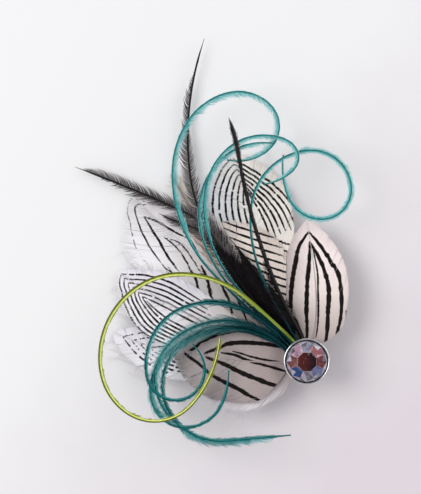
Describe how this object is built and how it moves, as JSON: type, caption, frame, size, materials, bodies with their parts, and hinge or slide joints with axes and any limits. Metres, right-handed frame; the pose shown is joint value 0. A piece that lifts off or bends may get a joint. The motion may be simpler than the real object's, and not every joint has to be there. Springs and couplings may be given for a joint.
{
  "type": "feather fascinator hair clip",
  "caption": "Hair fascinator: fan of barred feathers, dark spiky plumes and curled stripped quills under a faceted rhinestone, on a sprung alligator clip.",
  "frame": {"origin": "middle of the grip on the underside of the clip's fixed blade, where it lies on the hair", "axes": "+Z away from the hair and through the stack of feathers, +Y from the stone out along the jaws and the fan, +X to the right seen from above"},
  "size_m": [0.1179, 0.1232, 0.024],
  "materials": {
    "steel": "bright nickel-plated strip steel",
    "spring_steel": "drawn spring wire",
    "felt": "matte wool felt",
    "glue": "set hot glue",
    "silver": "bright plated cup",
    "rhinestone": "foil-backed clear acrylic with cut facets",
    "white_feather": "white vane with thin black bars",
    "tan_feather": "soft tan vane",
    "dark_feather": "grey-brown barbs on a black shaft",
    "black_feather": "soft black barbs",
    "teal_quill": "dyed stripped quill with a short fringe",
    "lime_quill": "dyed stripped quill"
  },
  "bodies": {
    "root": {"clip_blade": "steel", "clip_pin": "steel", "clip_spring": "spring_steel", "felt_backing": "felt", "felt_pad": "felt", "glue_core": "glue", "setting_cup": "silver", "stone": "rhinestone", "feather_right": "white_feather", "feather_top": "white_feather", "feather_centre": "white_feather", "feather_upper_left": "white_feather", "feather_left": "white_feather", "feather_lower_left": "white_feather", "feather_front": "white_feather", "feather_under": "white_feather", "feather_tan": "tan_feather", "spike_top": "dark_feather", "spike_left": "dark_feather", "spike_short": "dark_feather", "spear": "black_feather", "black_upper": "black_feather", "black_lower": "black_feather", "curl_high": "teal_quill", "curl_middle": "teal_quill", "curl_twin": "teal_quill", "curl_right": "teal_quill", "curl_long": "teal_quill", "curl_hook": "teal_quill", "curl_inner": "teal_quill", "curl_small": "teal_quill", "curl_lime": "lime_quill"},
    "lever": {"clip_prong": "steel"}
  },
  "joints": [
    {"name": "clip_hinge", "type": "hinge", "parent": "root", "child": "lever", "pos_m": [0, -0.014, -0.0042], "axis": [-1, 0, 0], "range_deg": [0, 26], "stiffness_Nm_per_rad": 0.012, "springref_deg": -91.67, "deforming": ["clip_spring"]}
  ]
}
